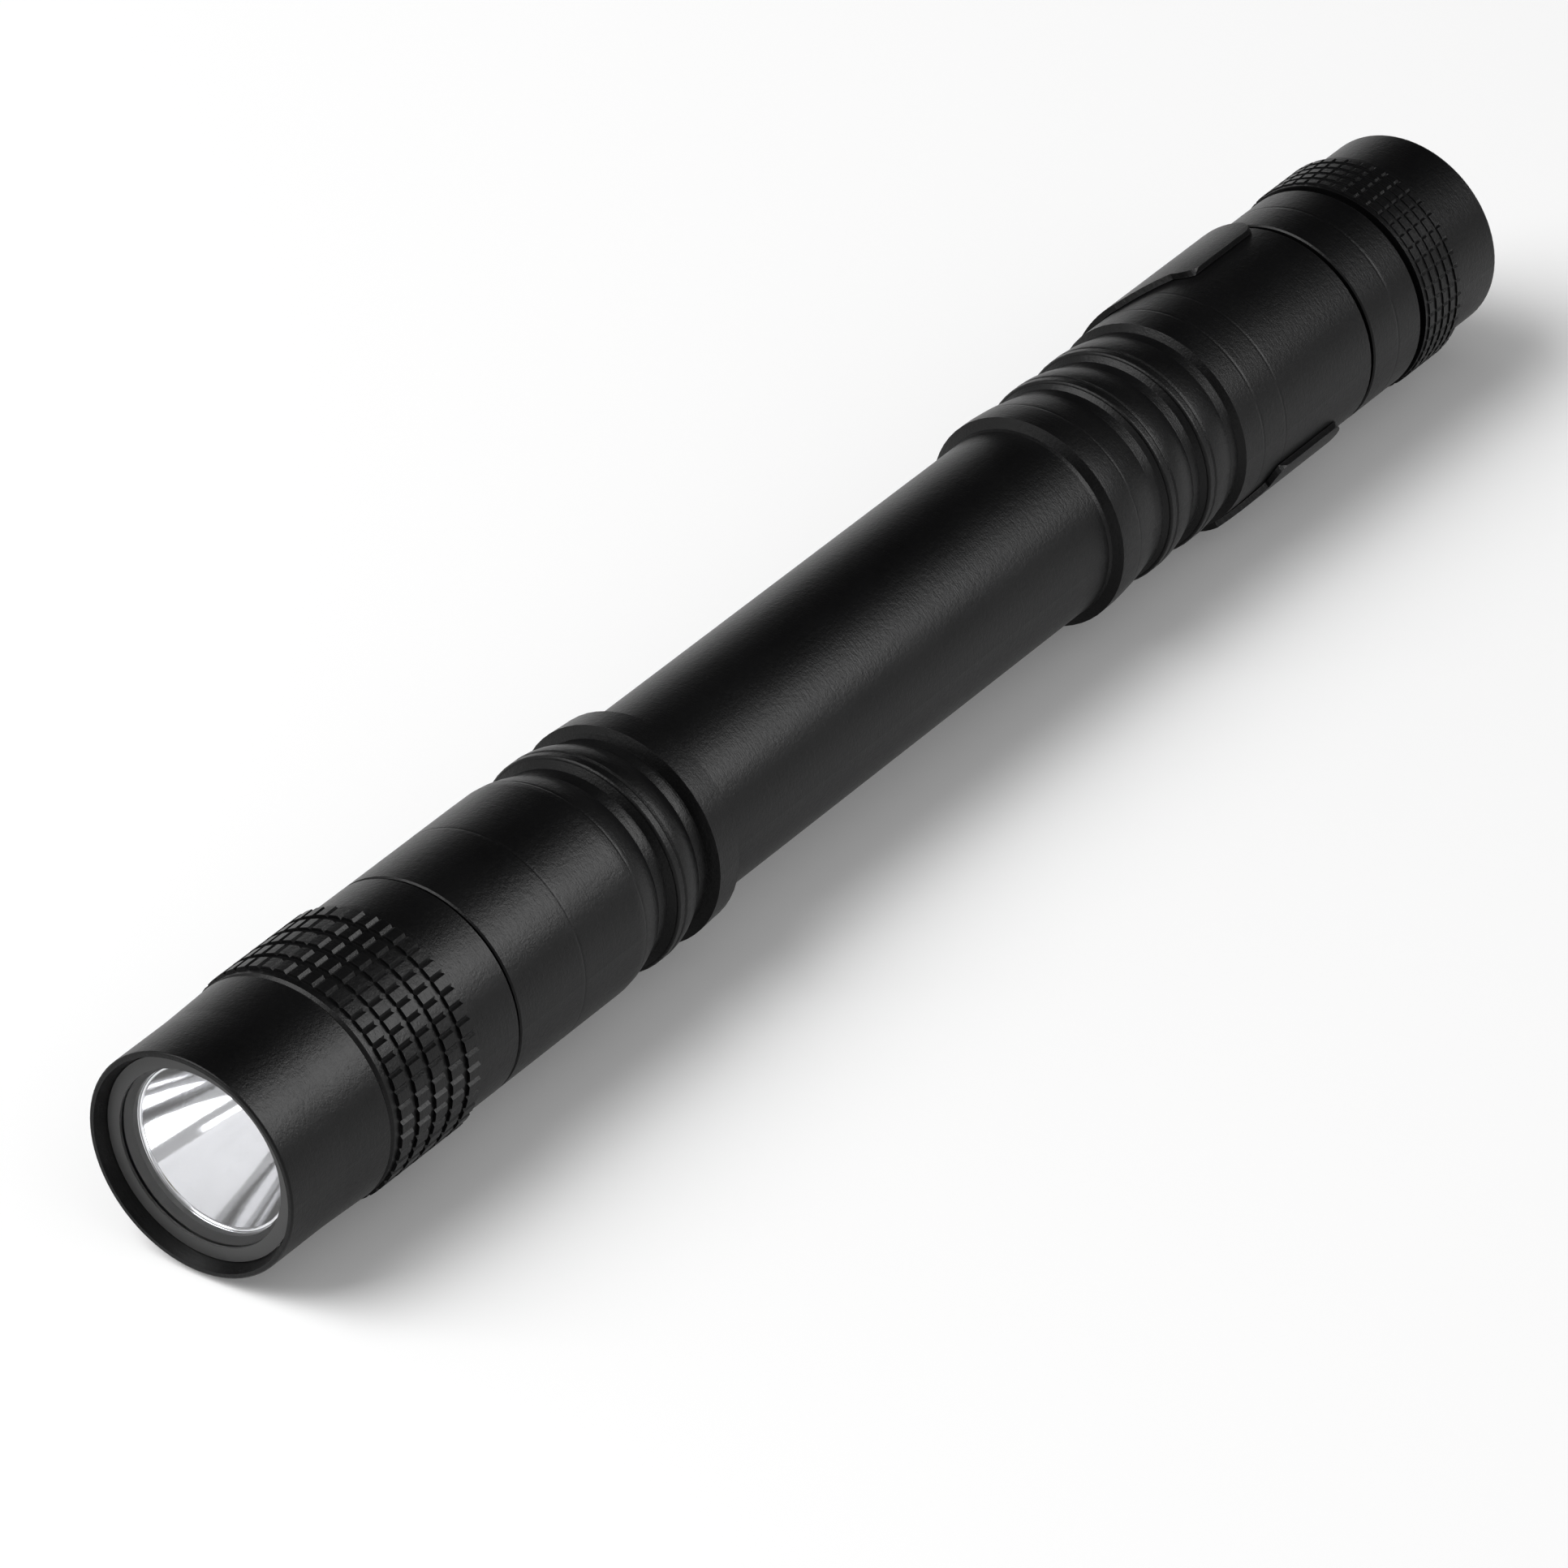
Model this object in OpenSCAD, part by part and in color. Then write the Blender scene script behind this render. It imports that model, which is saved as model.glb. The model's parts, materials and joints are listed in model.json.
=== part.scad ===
// Slim aluminium penlight with a knurled screw-on head, a ringed barrel for two small cells,
// a knurled tail cap with a push button and a sprung pocket clip. It lies on its side, beam towards -Y.

/* [Head] */
// Outer diameter of the straight front of the head
head_d = 15.3; // [15:0.1:15.5]
// Length of the straight front of the head
head_straight_len = 5.2; // [4:0.1:7]
// Diameter of the head where it meets the knurled band
head_flare_d = 15.6; // [15.5:0.05:15.75]
// Length of the smooth front of the head
head_plain_len = 9.7; // [9:0.1:11]
// Outer diameter of the knurled band on the head
head_knurl_d = 16; // [15.8:0.1:17]
// Length of the knurled band on the head
head_knurl_len = 8.8; // [8:0.1:9.6]
// Length of the smooth neck behind the knurled band
head_neck_len = 3.8; // [3.4:0.1:5]
// Outer diameter of the smooth neck behind the knurled band
head_neck_d = 15.3; // [15:0.05:15.35]
// Thickness of the rim round the front recess
rim_wall = 0.65; // [0.55:0.05:0.8]
// Diameter of the bore that takes the reflector and the light module
head_bore_d = 12; // [12:0.1:12.6]

/* [Lens and reflector] */
// Depth of the recess in front of the lens ring
recess_depth = 0.9; // [0.6:0.1:1.4]
// Thickness of the ring that holds the lens
lens_ring_t = 0.2; // [0.2:0.05:0.6]
// Radial width of the ring that holds the lens
lens_ring_w = 0.9; // [0.6:0.1:1]
// Thickness of the clear lens
lens_t = 1.4; // [1:0.1:1.8]
// Thickness of the gasket behind the lens
gasket_t = 0.4; // [0.3:0.1:0.6]
// Diameter of the mouth of the reflector
mouth_d = 11.4; // [11:0.1:11.6]
// Depth of the reflector bowl
bowl_depth = 8.4; // [7.5:0.1:9]
// Diameter of the hole for the light at the bottom of the bowl
bowl_hole_d = 3.4; // [3.2:0.1:3.8]
// Wall of the reflector bowl
bowl_wall = 0.45; // [0.3:0.05:0.5]
// Thickness of the flange of the reflector
flange_t = 0.8; // [0.6:0.1:1.2]
// Diameter of the foot of the reflector
foot_d = 6.8; // [6.4:0.1:7.6]
// Thickness of the foot of the reflector
foot_t = 0.6; // [0.5:0.1:0.8]

/* [Light module] */
// Side of the square light package
led_side = 3.4; // [3:0.1:3.8]
// Diameter of the dome on the light package
led_dome_d = 2.7; // [2.4:0.1:2.9]
// Height of the square light package
led_t = 0.7; // [0.5:0.05:0.75]
// Thickness of the ring that centres the reflector on the light
centering_t = 0.8; // [0.8:0.1:1.2]
// Outer diameter of the ring that centres the reflector on the light
centering_d = 7.6; // [7:0.1:8.4]
// Thickness of the board that carries the light
led_board_t = 1; // [0.8:0.1:1.6]
// Diameter of the board that carries the light
led_board_d = 9.2; // [9:0.1:10]
// Thickness of the base of the brass pill
pill_base_t = 1.9; // [1.5:0.1:2.5]
// Outer diameter of the stem of the pill
pill_stem_d = 9.6; // [9:0.1:10]
// Length of the stem of the pill
pill_stem_len = 5; // [4:0.1:6]
// Wall of the stem of the pill
pill_stem_wall = 0.7; // [0.5:0.1:0.9]
// Thickness of the driver board in the end of the stem
driver_t = 1; // [0.8:0.1:1.4]
// Length of the spring between the driver board and the front cell
front_spring_len = 5; // [4:0.1:6]
// Outer diameter of the front spring
front_spring_d = 4.6; // [4:0.1:5.4]

/* [Cells] */
// Diameter of a cell
cell_d = 10.5; // [10:0.1:10.8]
// Length of a cell with its contact
cell_len = 44.5; // [43.5:0.1:45]
// Diameter of the front contact of a cell
cell_nub_d = 3.8; // [3:0.1:4.4]
// Height of the front contact of a cell
cell_nub_t = 1; // [0.8:0.1:1.2]
// Radial play of a cell in the barrel
cell_play = 0.2; // [0.1:0.05:0.4]

/* [Barrel] */
// Diameter of the threaded ends of the barrel
thread_d = 13.2; // [13:0.1:13.4]
// Length of the smooth front of the barrel
front_len = 14.9; // [12:0.1:18]
// Diameter of the smooth front of the barrel
front_d = 15.3; // [15:0.1:15.5]
// Length over which the smooth front of the barrel rounds down to its groove
front_fall_len = 2.9; // [2:0.1:4]
// Radial drop of the rounded backs ahead of the front grooves
front_fall = 0.65; // [0.3:0.05:0.7]
// Length of the ring between the two front grooves
front_ring_len = 2.9; // [2.5:0.1:4]
// Diameter of the ring between the two front grooves
front_ring_d = 15.2; // [15:0.1:15.6]
// Length of a front groove
front_groove_len = 1.3; // [1:0.1:1.6]
// Length of the shoulder ring ahead of the middle tube
shoulder_len = 2.2; // [1.8:0.1:3.2]
// Diameter of the shoulder ring ahead of the middle tube
shoulder_d = 15.3; // [15:0.1:15.5]
// Diameter of the middle tube
tube_d = 13.4; // [13.2:0.1:13.8]
// Length of the steep face behind the middle tube
face_len = 0.3; // [0.2:0.05:0.8]
// Diameter of the first rear ring
rear_ring_1_d = 14.95; // [14.7:0.05:15.2]
// Length of the first rear ring
rear_ring_1_len = 4.45; // [3.6:0.05:5]
// Diameter of the second rear ring
rear_ring_2_d = 14.7; // [14.5:0.05:15]
// Length of the second rear ring
rear_ring_2_len = 3.2; // [2.8:0.1:4]
// Diameter of the third rear ring
rear_ring_3_d = 14.65; // [14.5:0.05:15]
// Length of the third rear ring
rear_ring_3_len = 2.9; // [2.6:0.1:4]
// Length of a rear groove
rear_groove_len = 1.2; // [0.9:0.1:1.4]
// Radial drop of the rounded backs of the first two rear rings
rear_fall = 0.48; // [0.2:0.02:0.5]
// Radial drop of the rounded back of the third rear ring
rear_ring_3_fall = 0.26; // [0.1:0.02:0.4]
// Diameter of the seat of the clip
seat_d = 14.9; // [14.7:0.1:15.1]
// Length of the seat of the clip
seat_len = 14.8; // [14.6:0.1:17]

/* [Tail cap] */
// Depth of the threaded mouth of the tail cap
tail_thread_len = 5.7; // [5:0.1:6.5]
// Outer diameter of the smooth front of the tail cap
tail_d = 14.9; // [14.7:0.1:15.2]
// Length of the smooth front of the tail cap
tail_plain_len = 5.45; // [5:0.05:6]
// Length of the dark groove ahead of the tail knurl
tail_groove_len = 0.55; // [0.4:0.05:0.7]
// Outer diameter of the knurled band on the tail cap
tail_knurl_d = 15.3; // [15:0.1:15.6]
// Length of the knurled band on the tail cap
tail_knurl_len = 4.5; // [4:0.1:6]
// Diameter of the smooth end of the tail cap
tail_end_d = 14.2; // [13.8:0.05:14.6]
// Length of the smooth end of the tail cap
tail_end_len = 4.8; // [4:0.1:5.6]
// Radius of the rounded edge at the end of the tail cap
tail_round = 0.3; // [0.2:0.05:0.8]
// Thickness of the end wall of the tail cap
tail_wall = 1.8; // [1.4:0.1:2.2]

/* [Switch] */
// Length of the spring between the rear cell and the switch board
tail_spring_len = 9.2; // [8:0.1:11]
// Outer diameter of the tail spring at the cell
tail_spring_tip_d = 5; // [4.5:0.1:6]
// Outer diameter of the tail spring at the switch board
tail_spring_base_d = 6.4; // [6:0.1:6.8]
// Diameter of the switch board
switch_board_d = 11; // [10.6:0.1:11.6]
// Thickness of the switch board
switch_board_t = 1; // [0.8:0.1:1.4]
// Thickness of the ring that holds the switch board
switch_ring_t = 1; // [0.8:0.1:1.4]
// Inner diameter of the ring that holds the switch board
switch_ring_in_d = 7.2; // [7:0.1:8]
// Side of the square switch housing
switch_side = 7; // [6:0.1:7.4]
// Height of the switch housing
switch_t = 2.8; // [2.4:0.1:3]
// Diameter of the switch plunger
plunger_d = 3; // [2.4:0.1:3.6]
// Diameter of the push button
button_d = 8.4; // [7.6:0.1:9]
// Diameter of the brim of the push button
brim_d = 10.4; // [10:0.1:10.8]
// Thickness of the brim of the push button
brim_t = 1.1; // [0.8:0.1:1.4]
// Height that the push button stands out of the tail cap
button_out = 1.5; // [1.3:0.1:2]
// Travel of the push button
button_travel = 1.2; // [0.8:0.1:1.3]
// Height of the dome on the push button
button_dome = 0.6; // [0.3:0.1:0.9]

/* [Clip] */
// Sheet thickness of the clip
clip_t = 0.4; // [0.35:0.05:0.6]
// Width of the arm of the clip
arm_w = 4.8; // [4.2:0.1:5.4]
// Length of the arm ahead of the band of the clip
arm_len = 29.5; // [27:0.5:33]
// Length of the band of the clip along its back
band_len = 11.6; // [10.4:0.1:12]
// Length of the claws of the clip at their tips
claw_len = 8; // [6:0.1:9.5]
// Distance that one claw sits behind the other
claw_stagger = 2.8; // [0:0.1:3]
// Corner radius of the claws
claw_round = 1.4; // [0.8:0.1:2]
// Half of the angle that the claws leave open
claw_half_angle = 62; // [50:1:70]
// Angle that the band and its claws are turned from the middle of the arm
claw_turn = 4; // [0:1:8]
// Length of the step between the band and the arm
joggle_len = 3.6; // [3:0.1:5]
// Length of the slope where the arm dips to the tube
dip_len = 8; // [6:0.1:9]
// Length of the flat that rides on the tube
touch_len = 1.6; // [1.2:0.1:2.4]
// Length of the turned-up lip at the end of the arm
lip_len = 2.8; // [2:0.1:3.6]
// Height of the turned-up lip at the end of the arm
lip_rise = 1; // [0.6:0.1:1.4]
// Gap between the arm and the tube at the flat
touch_gap = 0.3; // [0.2:0.05:0.5]

/* [Knurl] */
// Rows of pads along a band
knurl_rows = 5; // [3:1:6]
// Pads round a band
knurl_count = 48; // [36:2:60]
// Depth of the knurl on the head
head_knurl_depth = 0.22; // [0.14:0.01:0.32]
// Depth of the knurl on the tail cap
tail_knurl_depth = 0.1; // [0.06:0.01:0.2]
// Width of the ring grooves between the rows of pads on the head
head_knurl_gap = 0.54; // [0.4:0.02:0.7]
// Width of the ring grooves between the rows of pads on the tail cap
tail_knurl_gap = 0.36; // [0.26:0.02:0.46]
// Width of the pointed cuts between neighbouring pads on the head
head_knurl_cut = 0.4; // [0.3:0.02:0.56]
// Width of the pointed cuts between neighbouring pads on the tail cap
tail_knurl_cut = 0.3; // [0.2:0.02:0.46]

/* [Hidden] */
$fn = 96;
// Clearance of pieces that fit inside one another
fit_clear = 0.05;
// Radial clearance of the screw threads
thread_clear = 0.08;
// Gap at the seam of the head, and the wider one at the seam of the tail cap
seam_gap = 0.15;
tail_seam_gap = 0.35;
// Free end gap between stacked metal pieces
end_gap = 0.2;
// Chamfer on turned edges
edge = 0.2;
// Chamfer on the lips of the seams
seam_edge = 0.1;
// Rounding of the front rim, and its width outside the sloped side of the recess
rim_round = 0.15;
rim_lip = 0.35;
// Depth and width of the fine turned lines
line_depth = 0.02;
line_w = 0.3;
// Drop from a rounded back to the floor of its groove, and run of the steep wall behind the floor
groove_drop = 0.1;
wall_run = 0.3;
// Bead at the front of a ring: its rounding, its length, and the line behind it
bead_round = 0.2;
bead_len = 0.55;
bead_line_w = 0.3;
bead_line_depth = 0.06;
// Radial drop along the shoulder ring
shoulder_fall = 0.12;
// Gentle foot of the steep face behind the middle tube
foot_len = 0.25;
foot_rise = 0.08;
// Depth of the groove ahead of the tail knurl
tail_groove_depth = 0.45;
// Width and depth of the pointed groove ahead of the head knurl
head_groove_w = 0.4;
head_groove_depth = 0.16;
// Depth of the screw threads, and the plain guide at the tip of a threaded end
thread_depth = 0.3;
thread_guide = 1;
// Places of the fine lines, from the front of their sections
front_line_1_at = 6.5;
front_line_2_at = 12.8;
rear_ring_line_at = 2.1;
seat_line_1_at = 2.1;
seat_line_2_at = 4.6;
tail_line_at = 2.85;
// Section of the sealing rings and the side play in their grooves
o_ring_t = 0.7;
o_ring_play = 0.1;
// Land between a sealing ring and the shoulder beside it
o_ring_land = 0.5;
// Wire of the two contact springs and their turns
front_wire = 0.6;
tail_wire = 0.7;
front_turns = 3;
tail_turns = 4.5;
// Gap that keeps the springs off their seats
spring_gap = 0.05;
// Depth of the guide hole under the pressed plunger
plunger_floor = 0.3;
// Share of the depth of a knurl that its pointed cuts reach
pad_cut_share = 0.9;
// Overrun of cutting shapes
over = 1;
// Steps of curved outlines, rings of a spring turn and sides of its wire
curve_steps = 20;
crown_steps = 14;
corner_steps = 8;
coil_rings = 8;
coil_sides = 6;

// Radii
head_r = head_d / 2;
knurl_r = head_knurl_d / 2;
recess_r = head_r - rim_wall;
head_bore_r = head_bore_d / 2;
thread_r = thread_d / 2;
mouth_thread_r = thread_r + thread_clear;
cell_r = cell_d / 2;
bore_r = cell_r + cell_play;
tube_r = tube_d / 2;
seat_r = seat_d / 2;
tail_r = tail_d / 2;
mouth_r = mouth_d / 2;
bowl_hole_r = bowl_hole_d / 2;
button_r = button_d / 2;
brim_r = brim_d / 2;
tail_bore_r = max(brim_r, switch_board_d / 2) + fit_clear * 2;

// Places along the axis, counted from the front rim
head_knurl_at = head_plain_len;
head_neck_at = head_knurl_at + head_knurl_len;
head_end = head_neck_at + head_neck_len;
lens_ring_at = recess_depth;
lens_at = lens_ring_at + lens_ring_t;
gasket_at = lens_at + lens_t;
reflector_at = gasket_at + gasket_t;
shelf_at = reflector_at + flange_t;
centering_at = reflector_at + bowl_depth;
led_board_at = centering_at + centering_t;
pill_at = led_board_at + led_board_t;
stem_at = pill_at + pill_base_t;
stem_end = stem_at + pill_stem_len;
cells_at = stem_end + front_spring_len;
cells_end = cells_at + cell_len * 2;
switch_board_at = cells_end + tail_spring_len;
switch_ring_at = switch_board_at - switch_ring_t;
tail_mouth_end = switch_ring_at - seam_gap;
tail_at = tail_mouth_end - tail_thread_len;
barrel_end = tail_at - tail_seam_gap;
tail_neck_end = tail_mouth_end - end_gap;
front_neck_at = stem_at + end_gap;
barrel_at = head_end + seam_gap;
groove_1_at = barrel_at + front_len;
front_fall_at = groove_1_at - front_fall_len;
front_ring_at = groove_1_at + front_groove_len;
groove_2_at = front_ring_at + front_ring_len;
shoulder_at = groove_2_at + front_groove_len;
tube_at = shoulder_at + shoulder_len;
seat_at = barrel_end - seat_len;
groove_c_at = seat_at - rear_groove_len;
rear_ring_3_at = groove_c_at - rear_ring_3_len;
groove_b_at = rear_ring_3_at - rear_groove_len;
rear_ring_2_at = groove_b_at - rear_ring_2_len;
groove_a_at = rear_ring_2_at - rear_groove_len;
rear_ring_1_at = groove_a_at - rear_ring_1_len;
tube_end = rear_ring_1_at - face_len;
tail_groove_at = tail_at + tail_plain_len;
tail_knurl_at = tail_groove_at + tail_groove_len;
tail_end_at = tail_knurl_at + tail_knurl_len;
tail_end = tail_end_at + tail_end_len;
switch_at = switch_board_at + switch_board_t;
brim_end = tail_end - tail_wall;
brim_at = brim_end - brim_t;
total_len = tail_end + button_out;

// Clip: its arm and the knurled band of the head both reach the surface that the penlight lies on
clip_lean = 45;
clip_in_r = seat_r + fit_clear;
arm_out = (knurl_r - arm_w / 2 * sin(clip_lean)) / cos(clip_lean);
arm_in = arm_out - clip_t;
band_end = barrel_end - seam_gap - claw_stagger / 2;
band_at = band_end - band_len;
arm_tip = band_at - arm_len;
touch_in = tube_r + touch_gap;

anodised = [0.07, 0.07, 0.075];
dark_rubber = [0.1, 0.1, 0.1];
grey_plastic = [0.28, 0.28, 0.28];
brass = [0.72, 0.56, 0.28];
steel = [0.72, 0.73, 0.74];

// Lays a piece that was drawn along +Z on its side, centred over the origin
module lay() {
    translate([0, -total_len / 2, knurl_r]) rotate([-90, 0, 0]) children();
}

// A turned piece from points of radius and place along the axis
module turned(points) {
    rotate_extrude() polygon(points);
}

// A flat washer
module washer(outer_r, inner_r, at, thick) {
    translate([0, 0, at]) difference() {
        cylinder(r = outer_r, h = thick);
        translate([0, 0, -over]) cylinder(r = inner_r, h = thick + over * 2);
    }
}

// A round disc
module disc(r, at, thick) {
    translate([0, 0, at]) cylinder(r = r, h = thick);
}

// Outline points of a fine turned line, of the floor of a groove, and of the bead at the front of a ring
function notch(r, at, w, depth) = [[r, at - w / 2], [r - depth, at], [r, at + w / 2]];
function fine_line(r, at) = notch(r, at, line_w, line_depth);
function groove_floor(r, at, len) = let (floor_r = r - groove_drop)
    [[floor_r, at + groove_drop], [floor_r, at + len - wall_run]];
function bead(r, at) = concat(corner(r - bead_round, at + bead_round, bead_round, -90),
    notch(r, at + bead_len + bead_line_w / 2, bead_line_w, bead_line_depth));

// Outline points of a back that rounds down, and of such a back with a fine line on it
function crown_point(r, fall, at, end, s) = [r - fall * (max(s - at, 0) / (end - at)) ^ 2, s];
function crown_stations(at, end) = [for (i = [1 : crown_steps]) at + (end - at) * i / crown_steps];
function crowned(r, fall, at, end) = [for (s = crown_stations(at, end)) crown_point(r, fall, at, end, s)];
function lined_crown(r, fall, at, end, line_at) = concat(
    [for (s = crown_stations(at, end)) if (s < line_at - line_w) crown_point(r, fall, at, end, s)],
    [for (k = [-1 : 1]) crown_point(r, fall, at, end, line_at + k * line_w / 2)
        - [k == 0 ? line_depth : 0, 0]],
    [for (s = crown_stations(at, end)) if (s > line_at + line_w) crown_point(r, fall, at, end, s)]);

// Outline points of the rings of knurl pads, and of the relief that carries a screw thread
function knurl_ring(r, depth, gap, at, pitch) =
    [[r - depth, at], [r - depth, at + gap], [r, at + gap], [r, at + pitch]];
function knurl_outline(r, depth, gap, at, len) = let (pitch = (len - gap) / knurl_rows)
    concat([for (i = [0 : knurl_rows - 1]) each knurl_ring(r, depth, gap, at + pitch * i, pitch)],
        [[r - depth, at + len - gap], [r - depth, at + len]]);
function thread_relief(at, end) = let (root_r = thread_r - thread_depth)
    [[thread_r, at], [root_r, at + thread_depth], [root_r, end - thread_depth], [thread_r, end]];
function bowl_r(at) = sqrt(mouth_r ^ 2 + (bowl_hole_r ^ 2 - mouth_r ^ 2) * (at - reflector_at) / bowl_depth);
function corner(x, y, r, from) = [for (i = [0 : corner_steps]) let (a = from + 90 * i / corner_steps)
    [x + r * cos(a), y + r * sin(a)]];
function blend(t) = (1 - cos(180 * t)) / 2;

// Pointed cuts along the axis that divide the rings of a knurled band into pads
module knurl_cuts(r, depth, cut, gap, at, len) {
    cut_depth = depth * pad_cut_share;
    for (i = [0 : knurl_count - 1]) {
        rotate([0, 0, 360 * (i + 0.5) / knurl_count]) translate([0, 0, at + gap / 2])
            linear_extrude(height = len - gap)
            polygon([[r - cut_depth, 0], [r + cut_depth, -cut], [r + cut_depth, cut]]);
    }
}

// A coil spring as one tube, wound from one radius to another, with the least gap between its turns
function coil_point(r0, r1, len, turns, t) =
    [(r0 + (r1 - r0) * t) * cos(360 * turns * t), (r0 + (r1 - r0) * t) * sin(360 * turns * t), len * t];
module coil(d0, d1, wire, len, turns, at) {
    w = wire / 2;
    rise = len - wire;
    steps = round(turns * coil_rings);
    path = [for (i = [0 : steps]) coil_point(d0 / 2 - w, d1 / 2 - w, rise, turns, i / steps)];
    points = [for (i = [0 : steps]) let (a = 360 * turns * i / steps)
        for (j = [0 : coil_sides - 1]) let (b = 360 * j / coil_sides)
        path[i] + [0, 0, w] + w * [cos(b) * cos(a), cos(b) * sin(a), sin(b)]];
    sides = [for (i = [0 : steps - 1]) for (j = [0 : coil_sides - 1])
        let (a = i * coil_sides + j, b = i * coil_sides + (j + 1) % coil_sides)
        each [[a, a + coil_sides, b], [b, a + coil_sides, b + coil_sides]]];
    first = [for (j = [1 : coil_sides - 2]) [0, j, j + 1]];
    last = steps * coil_sides;
    cap = [for (j = [1 : coil_sides - 2]) [last, last + j + 1, last + j]];
    spacing = [for (i = [0 : steps]) for (j = [i + coil_rings - 2 : 1 : steps]) norm(path[i] - path[j])];
    echo(least_gap_between_turns = min(spacing) - wire);
    translate([0, 0, at]) polyhedron(points, concat(sides, first, cap));
}

// Head shell: a gentle flare, a band of knurl pads, a neck, and the stepped bore
module head() {
    flare_r = head_flare_d / 2;
    outline = concat(
        [[recess_r, lens_ring_at], [head_r - rim_lip, 0], [head_r - rim_round, 0]],
        corner(head_r - rim_round, rim_round, rim_round, -90),
        [[head_r, head_straight_len]],
        notch(flare_r, head_knurl_at - head_groove_w / 2, head_groove_w, head_groove_depth),
        knurl_outline(knurl_r, head_knurl_depth, head_knurl_gap, head_knurl_at, head_knurl_len),
        [[head_neck_d / 2, head_neck_at], [head_neck_d / 2, head_end - seam_edge]],
        [[head_neck_d / 2 - seam_edge, head_end], [mouth_thread_r, head_end], [mouth_thread_r, stem_at]],
        [[head_bore_r, stem_at], [head_bore_r, shelf_at], [recess_r, shelf_at]]);
    color(anodised) lay() difference() {
        turned(outline);
        knurl_cuts(knurl_r, head_knurl_depth, head_knurl_cut, head_knurl_gap, head_knurl_at, head_knurl_len);
    }
}

// Dark ring that holds the lens from the front
module lens_ring() {
    color(grey_plastic) lay()
        washer(recess_r - fit_clear, recess_r - fit_clear - lens_ring_w, lens_ring_at, lens_ring_t);
}

// Clear flat lens
module lens() {
    color([0.85, 0.92, 0.95, 0.4]) lay() disc(recess_r - fit_clear, lens_at, lens_t);
}

// Gasket between the lens and the reflector
module lens_gasket() {
    color(dark_rubber) lay() washer(recess_r - fit_clear, mouth_r, gasket_at, gasket_t);
}

// Deep bright bowl with a flange in front and a foot behind
module reflector() {
    foot_at = centering_at - foot_t;
    bowl_in = [for (i = [0 : curve_steps]) let (at = reflector_at + bowl_depth * i / curve_steps)
        [bowl_r(at), at]];
    bowl_out = [for (i = [0 : curve_steps]) let (at = foot_at + (shelf_at - foot_at) * i / curve_steps)
        [bowl_r(at) + bowl_wall, at]];
    outline = concat(bowl_in, [[foot_d / 2, centering_at], [foot_d / 2, foot_at]], bowl_out,
        [[recess_r - fit_clear, shelf_at], [recess_r - fit_clear, reflector_at]]);
    color([0.85, 0.86, 0.88]) lay() turned(outline);
}

// Square light package with its dome
module led_emitter() {
    color([0.95, 0.85, 0.4]) lay() translate([0, 0, led_board_at]) {
        translate([-led_side / 2, -led_side / 2, -led_t]) cube([led_side, led_side, led_t]);
        translate([0, 0, -led_t]) intersection() {
            sphere(d = led_dome_d);
            translate([0, 0, -led_dome_d]) cylinder(d = led_dome_d * 2, h = led_dome_d + led_t / 2);
        }
    }
}

// White ring round the light package that centres the reflector
module centering_ring() {
    side = led_side + fit_clear * 2;
    color("white") lay() difference() {
        disc(centering_d / 2, centering_at, centering_t);
        translate([-side / 2, -side / 2, centering_at - over]) cube([side, side, centering_t + over * 2]);
    }
}

// Metal-cored board under the light
module led_board() {
    color([0.8, 0.8, 0.78]) lay() disc(led_board_d / 2, led_board_at, led_board_t);
}

// Brass pill: a cup for the light board, a base, and a hollow stem for the driver board
module pill() {
    cup_r = led_board_d / 2 + fit_clear;
    stem_r = pill_stem_d / 2;
    stem_in_r = stem_r - pill_stem_wall;
    pill_r = head_bore_r - fit_clear;
    color(brass) lay() turned([[0, pill_at], [cup_r, pill_at], [cup_r, led_board_at],
        [pill_r - edge, led_board_at], [pill_r, led_board_at + edge], [pill_r, stem_at], [stem_r, stem_at],
        [stem_r, stem_end - edge], [stem_r - edge, stem_end], [stem_in_r, stem_end], [stem_in_r, stem_at],
        [0, stem_at]]);
}

// Driver board in the end of the stem
module driver_board() {
    color([0.1, 0.35, 0.2]) lay()
        disc(pill_stem_d / 2 - pill_stem_wall - fit_clear, stem_end - driver_t, driver_t);
}

// Contact spring between the driver board and the front cell
module front_spring() {
    color(steel) lay() coil(front_spring_d, cell_nub_d, front_wire, front_spring_len - spring_gap * 2,
        front_turns, stem_end + spring_gap);
}

// Sealing ring of a threaded end
module o_ring(at) {
    color(dark_rubber) lay() rotate_extrude()
        translate([thread_r + fit_clear - o_ring_t / 2, at]) circle(d = o_ring_t, $fn = 32);
}

// Middle of the grooves that take the sealing rings, and half of their width
head_o_ring_mid = barrel_at - o_ring_land - o_ring_play - o_ring_t / 2;
tail_o_ring_mid = barrel_end + o_ring_land + o_ring_play + o_ring_t / 2;
o_ring_half = o_ring_t / 2 + o_ring_play;
function o_ring_groove(mid) = let (floor_r = thread_r - o_ring_t)
    [[thread_r, mid - o_ring_half], [floor_r, mid - o_ring_half], [floor_r, mid + o_ring_half],
    [thread_r, mid + o_ring_half]];

// Sealing ring at the head
module head_o_ring() {
    o_ring(head_o_ring_mid);
}

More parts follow.
